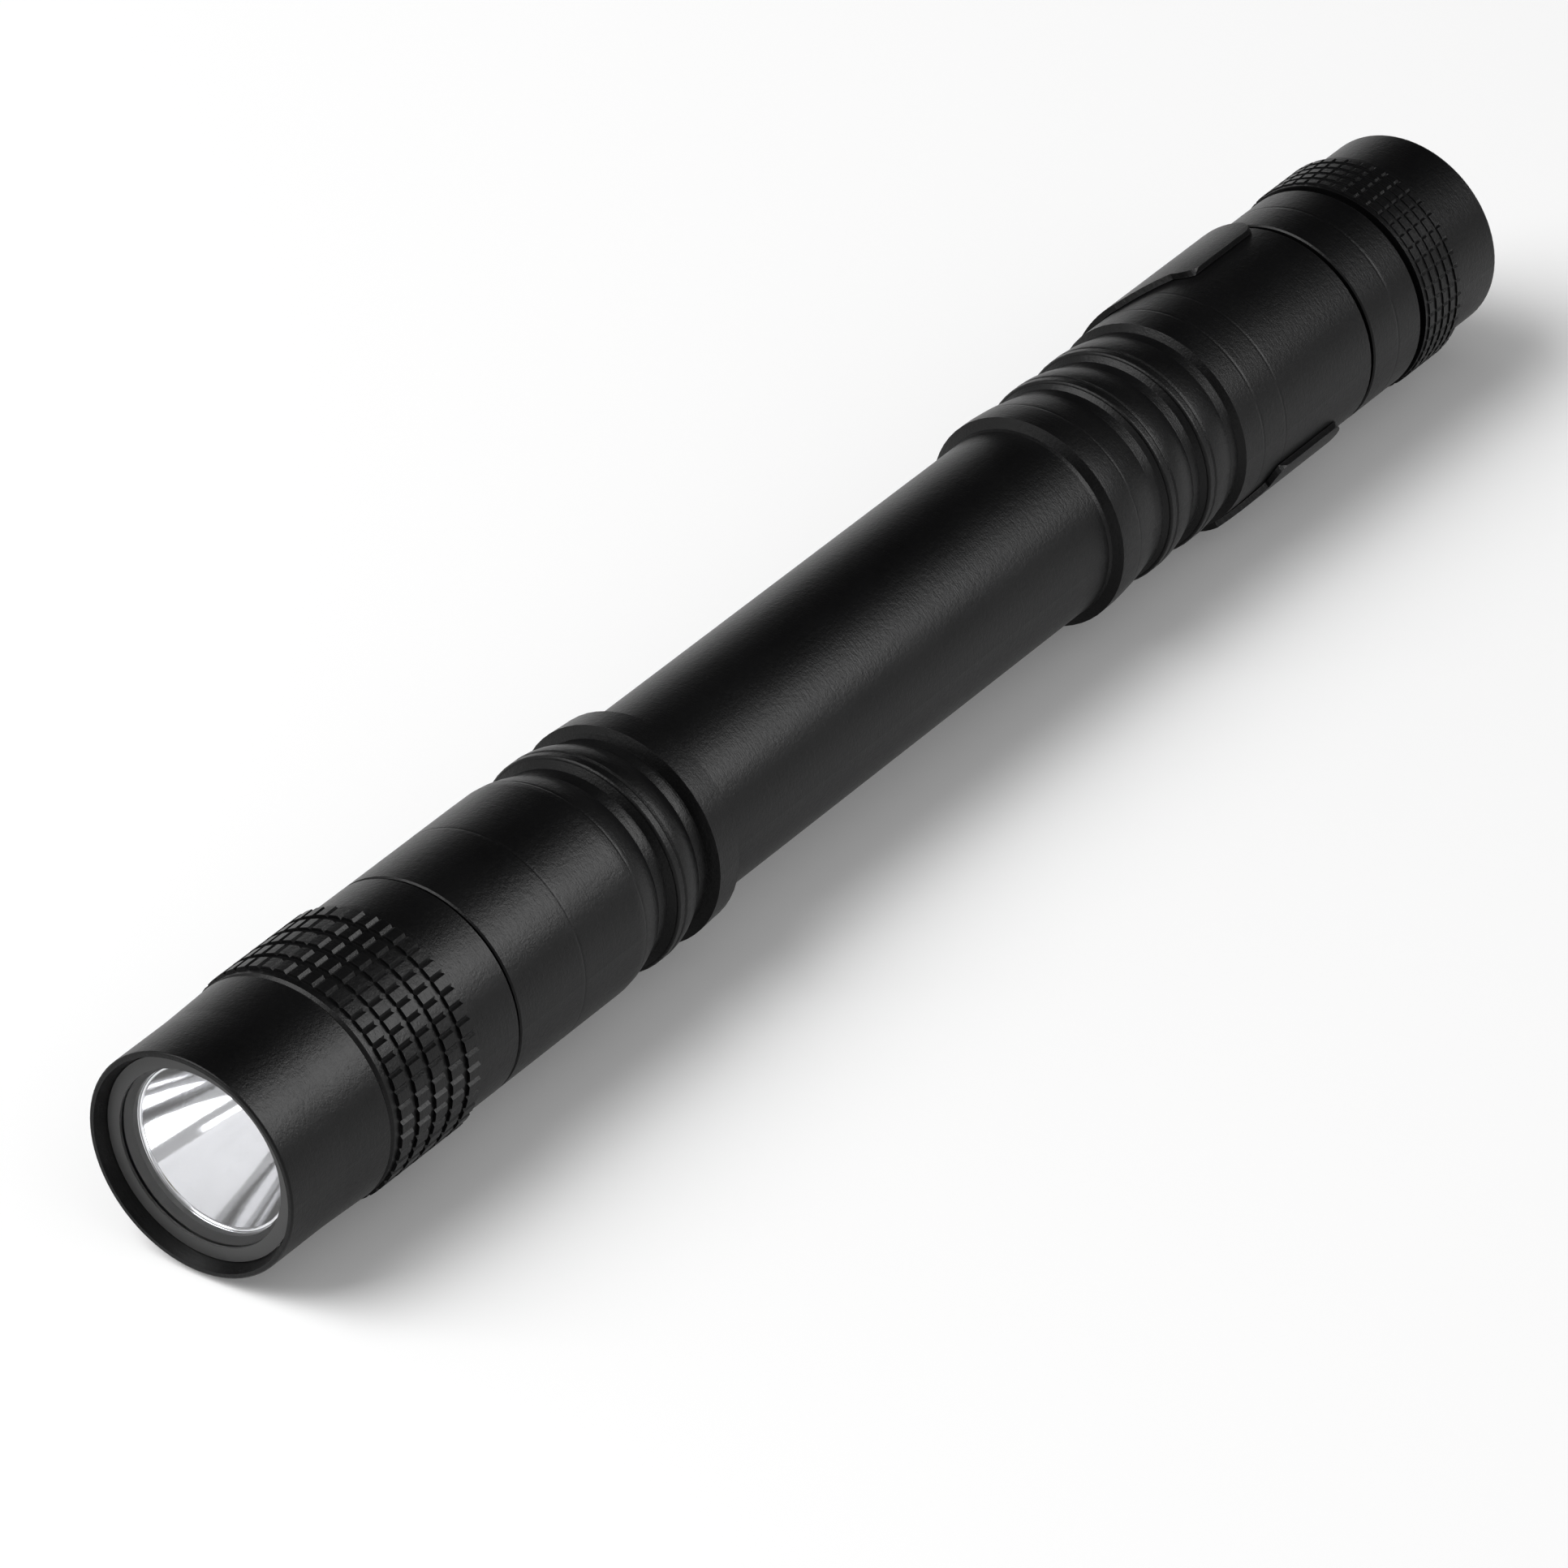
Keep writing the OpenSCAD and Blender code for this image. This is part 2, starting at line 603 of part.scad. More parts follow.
// Turned barrel with its two threaded ends, ring sets, waisted tube, clip seat and through bore
module barrel() {
    front_r = front_d / 2;
    front_ring_r = front_ring_d / 2;
    shoulder_r = shoulder_d / 2;
    ring_1_r = rear_ring_1_d / 2;
    ring_2_r = rear_ring_2_d / 2;
    ring_3_r = rear_ring_3_d / 2;
    shoulder_end_r = shoulder_r - shoulder_fall;
    crown_at = bead_len + bead_line_w;
    front_end_r = front_r - front_fall;
    front_ring_end_r = front_ring_r - front_fall;
    ring_1_end_r = ring_1_r - rear_fall;
    ring_2_end_r = ring_2_r - rear_fall;
    ring_3_end_r = ring_3_r - rear_ring_3_fall;
    outline = concat(
        [[bore_r, front_neck_at], [thread_r - edge, front_neck_at], [thread_r, front_neck_at + edge]],
        thread_relief(front_neck_at + thread_guide, head_o_ring_mid - o_ring_half - o_ring_land),
        o_ring_groove(head_o_ring_mid),
        [[thread_r, barrel_at], [front_r - seam_edge, barrel_at], [front_r, barrel_at + seam_edge]],
        fine_line(front_r, barrel_at + front_line_1_at),
        lined_crown(front_r, front_fall, front_fall_at, groove_1_at, barrel_at + front_line_2_at),
        groove_floor(front_end_r, groove_1_at, front_groove_len),
        bead(front_ring_r, front_ring_at),
        crowned(front_ring_r, front_fall, front_ring_at + crown_at, groove_2_at),
        groove_floor(front_ring_end_r, groove_2_at, front_groove_len),
        [[shoulder_r, shoulder_at], [shoulder_end_r, tube_at - seam_edge]],
        [[shoulder_end_r - seam_edge, tube_at], [tube_r, tube_at]],
        [[tube_r, tube_end - foot_len], [tube_r + foot_rise, tube_end], [ring_1_r, rear_ring_1_at]],
        lined_crown(ring_1_r, rear_fall, rear_ring_1_at, groove_a_at, rear_ring_1_at + rear_ring_line_at),
        groove_floor(ring_1_end_r, groove_a_at, rear_groove_len),
        bead(ring_2_r, rear_ring_2_at),
        crowned(ring_2_r, rear_fall, rear_ring_2_at + crown_at, groove_b_at),
        groove_floor(ring_2_end_r, groove_b_at, rear_groove_len),
        bead(ring_3_r, rear_ring_3_at),
        crowned(ring_3_r, rear_ring_3_fall, rear_ring_3_at + crown_at, groove_c_at),
        groove_floor(ring_3_end_r, groove_c_at, rear_groove_len),
        [[seat_r, seat_at]],
        fine_line(seat_r, seat_at + seat_line_1_at),
        fine_line(seat_r, seat_at + seat_line_2_at),
        [[seat_r, barrel_end - seam_edge], [seat_r - seam_edge, barrel_end], [thread_r, barrel_end]],
        o_ring_groove(tail_o_ring_mid),
        thread_relief(tail_o_ring_mid + o_ring_half + o_ring_land, tail_neck_end - thread_guide),
        [[thread_r, tail_neck_end - edge], [thread_r - edge, tail_neck_end], [bore_r, tail_neck_end]]);
    color(anodised) lay() turned(outline);
}

// A round cell with its raised front contact
module cell(at) {
    can_at = at + cell_nub_t;
    can_end = at + cell_len;
    turned([[0, at], [cell_nub_d / 2 - edge, at], [cell_nub_d / 2, at + edge], [cell_nub_d / 2, can_at],
        [cell_r - edge, can_at], [cell_r, can_at + edge], [cell_r, can_end - edge],
        [cell_r - edge, can_end], [0, can_end]]);
}

// Front cell
module battery_front() {
    color([0.2, 0.24, 0.3]) lay() cell(cells_at);
}

// Rear cell
module battery_rear() {
    color([0.2, 0.24, 0.3]) lay() cell(cells_at + cell_len);
}

// Sealing ring at the tail cap
module tail_o_ring() {
    o_ring(tail_o_ring_mid);
}

// Tail cap: smooth ring, dark groove, fine knurl, smaller rounded end, and the bore for the switch
module tail_cap() {
    end_r = tail_end_d / 2;
    knurled_r = tail_knurl_d / 2;
    floor_r = min(tail_r, knurled_r) - tail_groove_depth;
    hole_r = button_r + thread_clear;
    outline = concat(
        [[mouth_thread_r, tail_at], [tail_r - seam_edge, tail_at], [tail_r, tail_at + seam_edge]],
        fine_line(tail_r, tail_at + tail_line_at),
        [[tail_r, tail_groove_at], [floor_r, tail_groove_at + seam_edge], [floor_r, tail_knurl_at]],
        knurl_outline(knurled_r, tail_knurl_depth, tail_knurl_gap, tail_knurl_at, tail_knurl_len),
        [[end_r, tail_end_at]],
        corner(end_r - tail_round, tail_end - tail_round, tail_round, 0),
        [[hole_r, tail_end], [hole_r, brim_end], [tail_bore_r, brim_end], [tail_bore_r, tail_mouth_end],
        [mouth_thread_r, tail_mouth_end]]);
    color(anodised) lay() difference() {
        turned(outline);
        knurl_cuts(knurled_r, tail_knurl_depth, tail_knurl_cut, tail_knurl_gap, tail_knurl_at,
            tail_knurl_len);
    }
}

// Tapered contact spring between the rear cell and the switch board
module tail_spring() {
    color(steel) lay() coil(tail_spring_tip_d, tail_spring_base_d, tail_wire,
        tail_spring_len - spring_gap * 2, tail_turns, cells_end + spring_gap);
}

// Brass ring that holds the switch board in the tail cap
module switch_ring() {
    color(brass) lay() washer(tail_bore_r - fit_clear, switch_ring_in_d / 2, switch_ring_at, switch_ring_t);
}

// Round board under the switch
module switch_board() {
    color([0.1, 0.35, 0.2]) lay() disc(switch_board_d / 2, switch_board_at, switch_board_t);
}

// Square switch housing with the guide hole of its plunger
module switch_body() {
    color([0.15, 0.15, 0.16]) lay() difference() {
        translate([-switch_side / 2, -switch_side / 2, switch_at]) cube([switch_side, switch_side, switch_t]);
        disc(plunger_d / 2 + fit_clear, switch_at + plunger_floor, switch_t);
    }
}

// Plunger between the switch and the push button
module switch_plunger() {
    plunger_at = switch_at + plunger_floor * 2 + button_travel;
    color("white") lay() disc(plunger_d / 2, plunger_at, brim_at - plunger_at);
}

// Push button with a brim inside the tail cap and a shallow dome outside
module tail_button() {
    side_end = total_len - button_dome;
    dome = [for (i = [0 : curve_steps]) let (t = i / curve_steps)
        [button_r * cos(90 * t), side_end + button_dome * sin(90 * t)]];
    color(dark_rubber) lay()
        turned(concat([[0, brim_at], [brim_r, brim_at], [brim_r, brim_end], [button_r, brim_end]], dome));
}

// Side view of the band of the clip and of one claw, as a block that trims the rolled band
module claw_side(out_r, tip_x, shift, width) {
    tip_1 = band_end + shift;
    tip_0 = tip_1 - claw_len;
    side = concat([[-out_r - over, band_at], [0, band_at + shift]],
        corner(tip_x - claw_round, tip_0 + claw_round, claw_round, -90),
        corner(tip_x - claw_round, tip_1 - claw_round, claw_round, 0),
        [[0, tip_1], [-out_r - over, band_end]]);
    rotate([90, 0, 0]) linear_extrude(height = width) mirror([1, 0]) polygon(side);
}

// Sprung sheet clip: a band that snaps round the barrel with two claws, and a long arm along the barrel
module pocket_clip() {
    out_r = clip_in_r + clip_t;
    tip_x = out_r * cos(claw_half_angle);
    reach = out_r * 2;
    lap = arm_w / 4;
    spare = claw_stagger + over;
    dip_at = arm_tip + lip_len + touch_len;
    lip = [for (i = [0 : corner_steps]) let (t = i / corner_steps)
        [touch_in + lip_rise * (1 - t) ^ 2, arm_tip + lip_len * t]];
    dip = [for (i = [0 : corner_steps]) let (t = i / corner_steps)
        [touch_in + (arm_in - touch_in) * blend(t), dip_at + dip_len * t]];
    joggle = [for (i = [0 : corner_steps]) let (t = i / corner_steps)
        [arm_in + (clip_in_r - arm_in) * blend(t), band_at - joggle_len / 2 + joggle_len * t]];
    inside = concat(lip, dip, joggle, [[clip_in_r, band_end - claw_round]]);
    outside = [for (i = [len(inside) - 1 : -1 : 0]) inside[i] + [clip_t, 0]];
    plan = concat([[-arm_w / 2, band_end], [-arm_w / 2, arm_tip + claw_round]],
        corner(-arm_w / 2 + claw_round, arm_tip + claw_round, claw_round, 180),
        corner(arm_w / 2 - claw_round, arm_tip + claw_round, claw_round, 270),
        [[arm_w / 2, band_end]]);
    color(anodised) lay() rotate([0, 0, 180 - clip_lean]) {
        rotate([0, 0, claw_turn]) intersection() {
            rotate([0, 0, 180 + claw_half_angle])
                rotate_extrude(angle = 360 - claw_half_angle * 2)
                translate([clip_in_r, band_at - spare]) square([clip_t, band_len + spare * 2]);
            union() {
                translate([0, lap, 0]) claw_side(out_r, tip_x, -claw_stagger / 2, reach);
                translate([0, reach - lap, 0]) claw_side(out_r, tip_x, claw_stagger / 2, reach);
            }
        }
        intersection() {
            rotate([90, 0, 0]) linear_extrude(height = arm_w, center = true) polygon(concat(inside, outside));
            rotate([90, 0, 90]) linear_extrude(height = arm_out + over) polygon(plan);
        }
    }
}

head();
lens_ring();
lens();
lens_gasket();
reflector();
led_emitter();
centering_ring();
led_board();
pill();
driver_board();
front_spring();
head_o_ring();
barrel();
battery_front();
battery_rear();
tail_o_ring();
tail_cap();
tail_spring();
switch_ring();
switch_board();
switch_body();
switch_plunger();
tail_button();
pocket_clip();
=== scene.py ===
"""Finishes, light and camera of a black penlight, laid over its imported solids."""

import json
import math

import bpy
from mathutils import Matrix, Vector


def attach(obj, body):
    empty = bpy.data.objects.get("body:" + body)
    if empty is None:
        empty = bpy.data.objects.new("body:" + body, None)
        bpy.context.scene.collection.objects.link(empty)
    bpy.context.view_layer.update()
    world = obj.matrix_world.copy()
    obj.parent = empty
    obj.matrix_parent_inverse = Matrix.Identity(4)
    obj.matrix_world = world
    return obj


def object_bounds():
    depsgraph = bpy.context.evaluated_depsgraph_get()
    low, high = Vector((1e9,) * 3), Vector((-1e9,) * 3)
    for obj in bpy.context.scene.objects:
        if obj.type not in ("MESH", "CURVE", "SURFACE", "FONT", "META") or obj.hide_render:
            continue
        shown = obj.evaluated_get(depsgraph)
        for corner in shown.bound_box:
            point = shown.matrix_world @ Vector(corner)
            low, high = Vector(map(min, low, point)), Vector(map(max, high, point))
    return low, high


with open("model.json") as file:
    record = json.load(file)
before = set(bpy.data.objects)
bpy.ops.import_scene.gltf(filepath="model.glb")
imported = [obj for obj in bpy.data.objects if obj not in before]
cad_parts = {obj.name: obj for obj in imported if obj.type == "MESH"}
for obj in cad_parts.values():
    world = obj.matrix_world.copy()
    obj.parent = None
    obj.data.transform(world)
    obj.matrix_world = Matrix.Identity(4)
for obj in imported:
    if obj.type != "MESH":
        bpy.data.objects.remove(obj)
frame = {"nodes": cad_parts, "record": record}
solid_low, solid_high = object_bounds()
nodes = frame["nodes"]

# Places of the penlight, in metres: its axis lies along Y, with the beam towards -Y
AXIS_HEIGHT = 0.008
# The front rim is the foremost end of the solids
RIM_Y = solid_low[1]

# Camera, from the outlines of the turned rings in the photograph
CAMERA_PLACE = Vector((0.346163, -0.488779, 0.400797))
CAMERA_RIGHT = Vector((0.812449, 0.583033, 0.0))
CAMERA_UP = Vector((-0.324873, 0.452706, 0.830370))
CAMERA_LENS = 260.87
CAMERA_SENSOR = 36.0


# Wiring of nodes

# Range that the noise texture mostly stays in
NOISE_LOW = 0.3
NOISE_HIGH = 0.7


def place(tree, kind, settings=None, inputs=None):
    """Adds one node, with its settings and its input values or links."""
    node = tree.nodes.new(kind)
    for name, value in (settings or {}).items():
        setattr(node, name, value)
    for name, value in (inputs or {}).items():
        if isinstance(value, bpy.types.NodeSocket):
            tree.links.new(value, node.inputs[name])
        else:
            node.inputs[name].default_value = value
    return node


def calc(tree, operation, first, second=0.0):
    """One step of arithmetic with two values."""
    node = place(tree, "ShaderNodeMath", {"operation": operation}, {0: first, 1: second})
    return node.outputs[0]


def blended(tree, first, second, first_share):
    """A sum of two values, each by its share."""
    first_part = calc(tree, "MULTIPLY", first, first_share)
    second_part = calc(tree, "MULTIPLY", second, 1.0 - first_share)
    return calc(tree, "ADD", first_part, second_part)


def spread(tree, value, low, high, to_low, to_high):
    """A value mapped from one range to another and held within it."""
    inputs = {"Value": value, "From Min": low, "From Max": high, "To Min": to_low, "To Max": to_high}
    return place(tree, "ShaderNodeMapRange", {"clamp": True}, inputs).outputs["Result"]


def stretched(tree, value):
    """Noise stretched to the range from 0 to 1."""
    return spread(tree, value, NOISE_LOW, NOISE_HIGH, 0.0, 1.0)


def ranged(tree, share, low, high):
    """A value between two others, by a share from 0 to 1."""
    return spread(tree, share, 0.0, 1.0, low, high)


def mixed(tree, share, first, second):
    """A colour between two others."""
    node = place(tree, "ShaderNodeMix", {"data_type": "RGBA"}, {"Factor": share})
    for socket, value in ((node.inputs[6], first), (node.inputs[7], second)):
        if isinstance(value, bpy.types.NodeSocket):
            tree.links.new(value, socket)
        else:
            socket.default_value = (*value, 1.0)
    return node.outputs[2]


def new_group(name, inputs, outputs):
    """An empty node group with named value inputs and outputs."""
    group = bpy.data.node_groups.new(name, "ShaderNodeTree")
    for label, value in inputs.items():
        socket = group.interface.new_socket(label, in_out="INPUT", socket_type="NodeSocketFloat")
        socket.default_value = value
    for label in outputs:
        group.interface.new_socket(label, in_out="OUTPUT", socket_type="NodeSocketFloat")
    start = group.nodes.new("NodeGroupInput")
    end = group.nodes.new("NodeGroupOutput")
    return group, start.outputs, end.inputs


def own_place(tree):
    """Coordinates that stay with a piece when it moves."""
    return place(tree, "ShaderNodeTexCoord").outputs["Object"]


def noise(tree, where, scale, detail=3.0, rough=0.55):
    """Soft random values in space."""
    inputs = {"Vector": where, "Scale": scale, "Detail": detail, "Roughness": rough}
    return place(tree, "ShaderNodeTexNoise", {}, inputs).outputs["Fac"]


# Effects that several finishes share

FINER_GRAIN = 2.7
COARSE_SHARE = 0.6
WEAR_SAMPLES = 6
EDGE_BEGINS = 0.99
EDGE_IS_FULL = 0.8
WEAR_PATCH_LOW = 0.35
WEAR_PATCH_HIGH = 0.65
LEAST_WEAR = 0.25
MILLIMETRES = 1000.0


def make_blasted_grain():
    """Fine even grain of a blasted or moulded surface, from 0 to 1."""
    group, take, give = new_group("blasted_grain", {"Scale": 8000.0}, ["Grain"])
    where = own_place(group)
    coarse = noise(group, where, take["Scale"], detail=2.0)
    fine = noise(group, where, calc(group, "MULTIPLY", take["Scale"], FINER_GRAIN), detail=2.0)
    both = blended(group, coarse, fine, COARSE_SHARE)
    group.links.new(stretched(group, both), give["Grain"])
    return group


def make_turned_lines():
    """Faint lines round a turned piece, from 0 to 1."""
    group, take, give = new_group("turned_lines", {"Scale": 9000.0}, ["Lines"])
    parts = place(group, "ShaderNodeSeparateXYZ", {}, {0: own_place(group)})
    inputs = {"W": parts.outputs["Y"], "Scale": take["Scale"], "Detail": 3.0, "Roughness": 0.6}
    lines = place(group, "ShaderNodeTexNoise", {"noise_dimensions": "1D"}, inputs).outputs["Fac"]
    group.links.new(stretched(group, lines), give["Lines"])
    return group


def make_edge_wear():
    """Worn sharp edges, from 0 to 1, broken up so that they come and go."""
    group, take, give = new_group("edge_wear", {"Radius": 0.0001, "Patch Scale": 900.0}, ["Worn"])
    bevel = place(group, "ShaderNodeBevel", {"samples": WEAR_SAMPLES}, {"Radius": take["Radius"]})
    flat = place(group, "ShaderNodeNewGeometry").outputs["Normal"]
    both = {0: bevel.outputs["Normal"], 1: flat}
    same = place(group, "ShaderNodeVectorMath", {"operation": "DOT_PRODUCT"}, both)
    edge = spread(group, same.outputs["Value"], EDGE_BEGINS, EDGE_IS_FULL, 0.0, 1.0)
    spots = noise(group, own_place(group), take["Patch Scale"])
    patches = spread(group, spots, WEAR_PATCH_LOW, WEAR_PATCH_HIGH, LEAST_WEAR, 1.0)
    group.links.new(calc(group, "MULTIPLY", edge, patches), give["Worn"])
    return group


def make_handling():
    """Soft uneven patches that handling leaves, from 0 to 1."""
    group, take, give = new_group("handling", {"Scale": 120.0}, ["Patches"])
    patches = noise(group, own_place(group), take["Scale"], detail=4.0, rough=0.6)
    group.links.new(stretched(group, patches), give["Patches"])
    return group


def make_axis_distance():
    """Distance from the axis of the penlight, in millimetres."""
    group, take, give = new_group("axis_distance", {"Height": AXIS_HEIGHT}, ["Distance"])
    parts = place(group, "ShaderNodeSeparateXYZ", {}, {0: own_place(group)})
    up = calc(group, "SUBTRACT", parts.outputs["Z"], take["Height"])
    up_square = calc(group, "POWER", up, 2.0)
    across_square = calc(group, "POWER", parts.outputs["X"], 2.0)
    metres = calc(group, "SQRT", calc(group, "ADD", up_square, across_square))
    group.links.new(calc(group, "MULTIPLY", metres, MILLIMETRES), give["Distance"])
    return group


BLASTED_GRAIN = make_blasted_grain()
TURNED_LINES = make_turned_lines()
EDGE_WEAR = make_edge_wear()
HANDLING = make_handling()
AXIS_DISTANCE = make_axis_distance()


def effect(tree, group, output, **inputs):
    """One use of a shared effect with its own values."""
    node = place(tree, "ShaderNodeGroup", {"node_tree": group})
    for label, value in inputs.items():
        node.inputs[label.replace("_", " ")].default_value = value
    return node.outputs[output]


# Finishes

def new_finish(name):
    """A material with an empty principled shader, and its node tree and shader."""
    material = bpy.data.materials.new(name)
    material.use_nodes = True
    shader = material.node_tree.nodes["Principled BSDF"]
    return material, material.node_tree, shader


def bumped(tree, height, depth):
    """Surface normals of a relief of a given depth, in metres."""
    return place(tree, "ShaderNodeBump", {}, {"Height": height, "Distance": depth}).outputs["Normal"]


def wire(tree, shader, **inputs):
    """Links or sets sockets of a shader, named with underscores for spaces."""
    for label, value in inputs.items():
        socket = shader.inputs[label.replace("_", " ")]
        if isinstance(value, bpy.types.NodeSocket):
            tree.links.new(value, socket)
        else:
            socket.default_value = value


def below(tree, value, high, soft):
    """1 below a value and 0 above it, with a soft end."""
    return spread(tree, value, high - soft, high + soft, 1.0, 0.0)


def within(tree, value, low, high, soft):
    """1 between two values and 0 outside them, with soft ends."""
    rise = spread(tree, value, low - soft, low + soft, 0.0, 1.0)
    return calc(tree, "MULTIPLY", rise, below(tree, value, high, soft))


def facing_along(tree):
    """1 on faces that look along the axis and 0 on faces that look sideways."""
    sideways = 0.6
    lengthways = 0.8
    normal = place(tree, "ShaderNodeNewGeometry").outputs["Normal"]
    along = place(tree, "ShaderNodeSeparateXYZ", {}, {0: normal}).outputs["Y"]
    return spread(tree, calc(tree, "ABSOLUTE", along), sideways, lengthways, 0.0, 1.0)


def black_metal(name, grain_scale, rough, worn_colour, wear_radius):
    """Black satin finish: blasted grain, faint turned lines, handled patches and slightly worn edges."""
    deep_black = (0.0010, 0.0010, 0.0011)
    soft_black = (0.0016, 0.0016, 0.0017)
    patch_rough = 0.025
    grain_rough = 0.05
    grain_share = 0.8
    material, tree, shader = new_finish(name)
    grain = effect(tree, BLASTED_GRAIN, "Grain", Scale=grain_scale)
    lines = effect(tree, TURNED_LINES, "Lines", Scale=7000.0)
    patches = effect(tree, HANDLING, "Patches", Scale=110.0)
    worn = effect(tree, EDGE_WEAR, "Worn", Radius=wear_radius, Patch_Scale=700.0)
    dye = mixed(tree, patches, deep_black, soft_black)
    smooth = ranged(tree, patches, rough - patch_rough, rough + patch_rough)
    uneven = calc(tree, "ADD", smooth, calc(tree, "MULTIPLY", grain, grain_rough))
    relief = bumped(tree, blended(tree, grain, lines, grain_share), depth=1.6e-5)
    wire(tree, shader, Base_Color=mixed(tree, worn, dye, worn_colour), Roughness=uneven, Normal=relief)
    wire(tree, shader, Specular_IOR_Level=0.2, Metallic=0.0)
    return material


def plain_moulded(name, colour, rough):
    """Moulded plastic or smooth rubber of one colour, with a fine grain."""
    patch_light = 1.25
    patch_rough = 0.06
    material, tree, shader = new_finish(name)
    grain = effect(tree, BLASTED_GRAIN, "Grain", Scale=6000.0)
    patches = effect(tree, HANDLING, "Patches", Scale=400.0)
    lighter = tuple(c * patch_light for c in colour)
    uneven = ranged(tree, patches, rough - patch_rough, rough + patch_rough)
    wire(tree, shader, Base_Color=mixed(tree, patches, colour, lighter), Roughness=uneven)
    wire(tree, shader, Normal=bumped(tree, grain, depth=3.0e-6))
    return material


def clear_glass(name):
    """Clear glass with the faintest haze of handling."""
    most_haze = 0.03
    material, tree, shader = new_finish(name)
    patches = effect(tree, HANDLING, "Patches", Scale=300.0)
    wire(tree, shader, Base_Color=(0.985, 0.99, 1.0, 1.0), Roughness=ranged(tree, patches, 0.0, most_haze))
    wire(tree, shader, IOR=1.5, Transmission_Weight=1.0)
    return material


def bright_metal(name, colour, rough, grain_depth):
    """Bare or plated metal, slightly uneven in colour and gloss."""
    patch_dark = 0.94
    rough_swing = 0.2
    material, tree, shader = new_finish(name)
    grain = effect(tree, BLASTED_GRAIN, "Grain", Scale=2500.0)
    patches = effect(tree, HANDLING, "Patches", Scale=350.0)
    darker = tuple(c * patch_dark for c in colour)
    uneven = ranged(tree, patches, rough * (1.0 - rough_swing), rough * (1.0 + rough_swing))
    wire(tree, shader, Base_Color=mixed(tree, patches, colour, darker), Roughness=uneven, Metallic=1.0)
    wire(tree, shader, Normal=bumped(tree, grain, grain_depth))
    return material


def cell_jacket(name):
    """Plain lacquered jacket of a cell with bare metal ends."""
    jacket_dark = (0.085, 0.10, 0.14)
    jacket_light = (0.11, 0.13, 0.17)
    metal_dark = (0.55, 0.55, 0.54)
    metal_light = (0.68, 0.68, 0.66)
    least_rough = 0.24
    most_rough = 0.36
    material, tree, shader = new_finish(name)
    bare = facing_along(tree)
    grain = effect(tree, BLASTED_GRAIN, "Grain", Scale=3000.0)
    patches = effect(tree, HANDLING, "Patches", Scale=260.0)
    jacket = mixed(tree, patches, jacket_dark, jacket_light)
    metal = mixed(tree, grain, metal_dark, metal_light)
    wire(tree, shader, Base_Color=mixed(tree, bare, jacket, metal), Metallic=bare)
    wire(tree, shader, Roughness=ranged(tree, patches, least_rough, most_rough))
    wire(tree, shader, Normal=bumped(tree, grain, depth=2.0e-6))
    return material


def circuit_board(name):
    """Green board with a tinned middle pad, a tinned ring, and faint tracks under the lacquer."""
    pad_mm = 1.9
    ring_from_mm = 3.1
    ring_to_mm = 3.7
    soft_mm = 0.04
    track_begins = 0.3
    track_is_full = 0.5
    lacquer_dark = (0.012, 0.085, 0.035)
    lacquer_light = (0.022, 0.13, 0.055)
    tin_dark = (0.6, 0.58, 0.54)
    tin_light = (0.72, 0.7, 0.66)
    least_rough = 0.26
    most_rough = 0.42
    material, tree, shader = new_finish(name)
    distance = effect(tree, AXIS_DISTANCE, "Distance")
    pad = below(tree, distance, pad_mm, soft_mm)
    ring = within(tree, distance, ring_from_mm, ring_to_mm, soft_mm)
    tinned = calc(tree, "MULTIPLY", calc(tree, "MAXIMUM", pad, ring), facing_along(tree))
    cell_inputs = {"Vector": own_place(tree), "Scale": 900.0}
    cells = place(tree, "ShaderNodeTexVoronoi", {"distance": "MANHATTAN"}, cell_inputs)
    tracks = spread(tree, cells.outputs["Distance"], track_begins, track_is_full, 0.0, 1.0)
    grain = effect(tree, BLASTED_GRAIN, "Grain", Scale=4000.0)
    lacquer = mixed(tree, tracks, lacquer_dark, lacquer_light)
    tin = mixed(tree, grain, tin_dark, tin_light)
    wire(tree, shader, Base_Color=mixed(tree, tinned, lacquer, tin), Metallic=tinned)
    wire(tree, shader, Roughness=ranged(tree, grain, least_rough, most_rough))
    wire(tree, shader, Normal=bumped(tree, tracks, depth=8.0e-6))
    return material


def light_package(name):
    """Pale package with a yellow layer in the middle, under a smooth clear coat."""
    layer_mm = 1.15
    soft_mm = 0.1
    yellow_dark = (0.78, 0.55, 0.07)
    yellow_light = (0.88, 0.66, 0.13)
    pale_dark = (0.74, 0.74, 0.7)
    pale_light = (0.84, 0.84, 0.8)
    least_rough = 0.3
    most_rough = 0.45
    material, tree, shader = new_finish(name)
    distance = effect(tree, AXIS_DISTANCE, "Distance")
    grain = effect(tree, BLASTED_GRAIN, "Grain", Scale=5000.0)
    yellow = mixed(tree, grain, yellow_dark, yellow_light)
    pale = mixed(tree, grain, pale_dark, pale_light)
    middle = below(tree, distance, layer_mm, soft_mm)
    wire(tree, shader, Base_Color=mixed(tree, middle, pale, yellow), Coat_Weight=1.0, Coat_Roughness=0.03)
    wire(tree, shader, Roughness=ranged(tree, grain, least_rough, most_rough))
    return material


